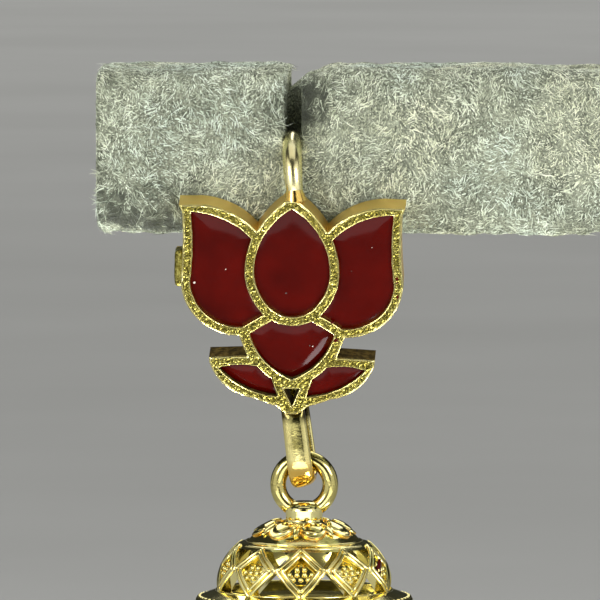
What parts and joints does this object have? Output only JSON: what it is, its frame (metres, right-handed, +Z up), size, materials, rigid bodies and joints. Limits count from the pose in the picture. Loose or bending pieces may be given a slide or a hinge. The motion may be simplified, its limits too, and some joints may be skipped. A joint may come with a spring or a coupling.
{
  "type": "jhumka earring on a velvet display bar",
  "caption": "Gold jhumka ear drop with a red enamel lotus plaque, ear hook, strap link and pierced bell, hanging on a velvet-covered display bar.",
  "frame": {"origin": "inside top of the ear hook's arch, where the drop hangs on the display bar's core", "axes": "+Z up, -Y the front that the plaque faces, +X to the right as seen from the front"},
  "size_m": [0.0384, 0.0207, 0.047],
  "materials": {
    "velvet": "shaggy grey velvet",
    "gold": "gold-plated cast brass, polished, stippled on the flat rims",
    "enamel": "glossy dark red enamel"
  },
  "bodies": {
    "root": {"display_bar": "velvet", "lotus_casting": "gold", "enamel_teardrop": "enamel", "enamel_petal_left": "enamel", "enamel_petal_right": "enamel", "enamel_shield": "enamel", "enamel_leaf_left": "enamel", "enamel_leaf_right": "enamel"},
    "link": {"strap_link": "gold"},
    "bell": {"bell": "gold"}
  },
  "joints": [
    {"name": "link_swing", "type": "hinge", "parent": "root", "child": "link", "pos_m": [0, 0.0046, -0.01794], "axis": [1, 0, 0], "range_deg": [-8, 35]},
    {"name": "bell_swing", "type": "hinge", "parent": "link", "child": "bell", "pos_m": [0.00057, 0.0046, -0.0236], "axis": [1, 0, 0], "range_deg": [-30, 40]}
  ]
}
